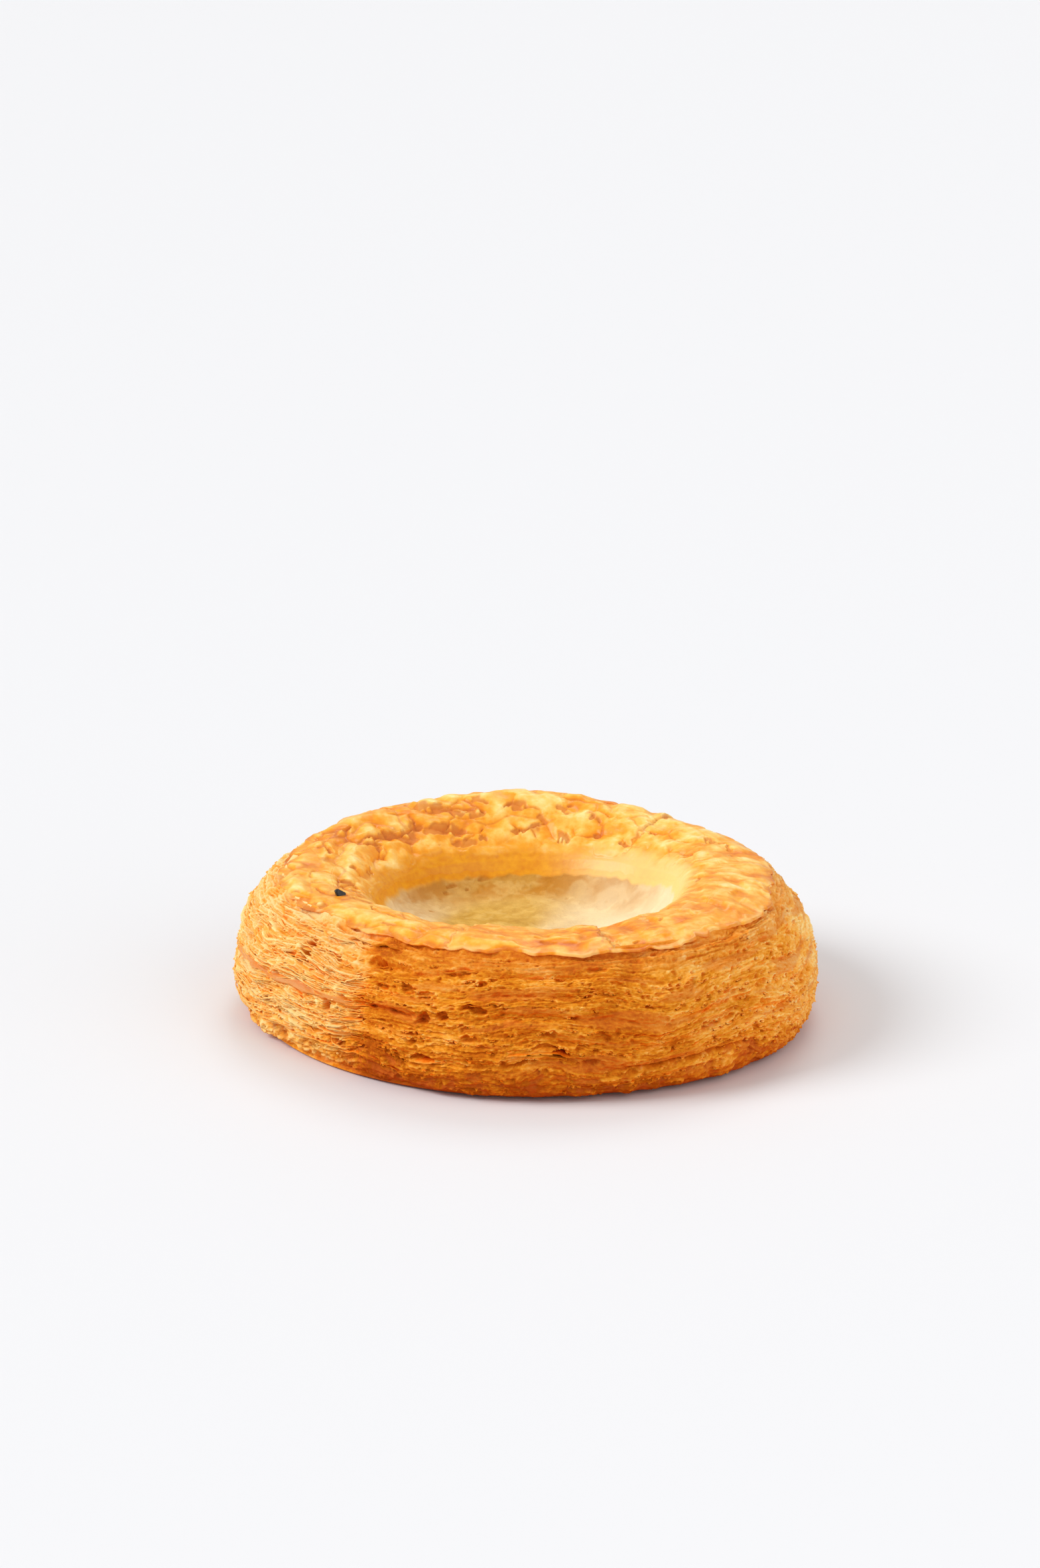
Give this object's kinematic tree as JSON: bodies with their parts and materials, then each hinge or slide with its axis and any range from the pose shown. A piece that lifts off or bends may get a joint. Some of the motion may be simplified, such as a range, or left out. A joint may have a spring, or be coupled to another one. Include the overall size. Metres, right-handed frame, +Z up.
{
  "type": "danish pastry",
  "caption": "Round danish pastry shell of laminated dough, with a layered side wall, a glazed blistered crust and an empty pressed hollow in the middle.",
  "frame": {"origin": "on the table, under the middle of the flat foot", "axes": "+Z up out of the hollow, -Y towards the side that the picture shows, +X to that view's right"},
  "size_m": [0.1108, 0.1106, 0.0303],
  "materials": {
    "glazed_crust": "egg-washed baked crust, golden yellow to orange-brown, softly glossy and blistered",
    "layered_dough": "torn edges of thin baked dough layers, golden to orange-brown, matt and flaky",
    "soft_dough": "unglazed soft dough of the hollow, cream to pale yellow, matt and slightly grainy",
    "dark_seed": "near-black dry seed with a dull sheen"
  },
  "bodies": {
    "root": {"pastry": "glazed_crust"}
  },
  "joints": []
}
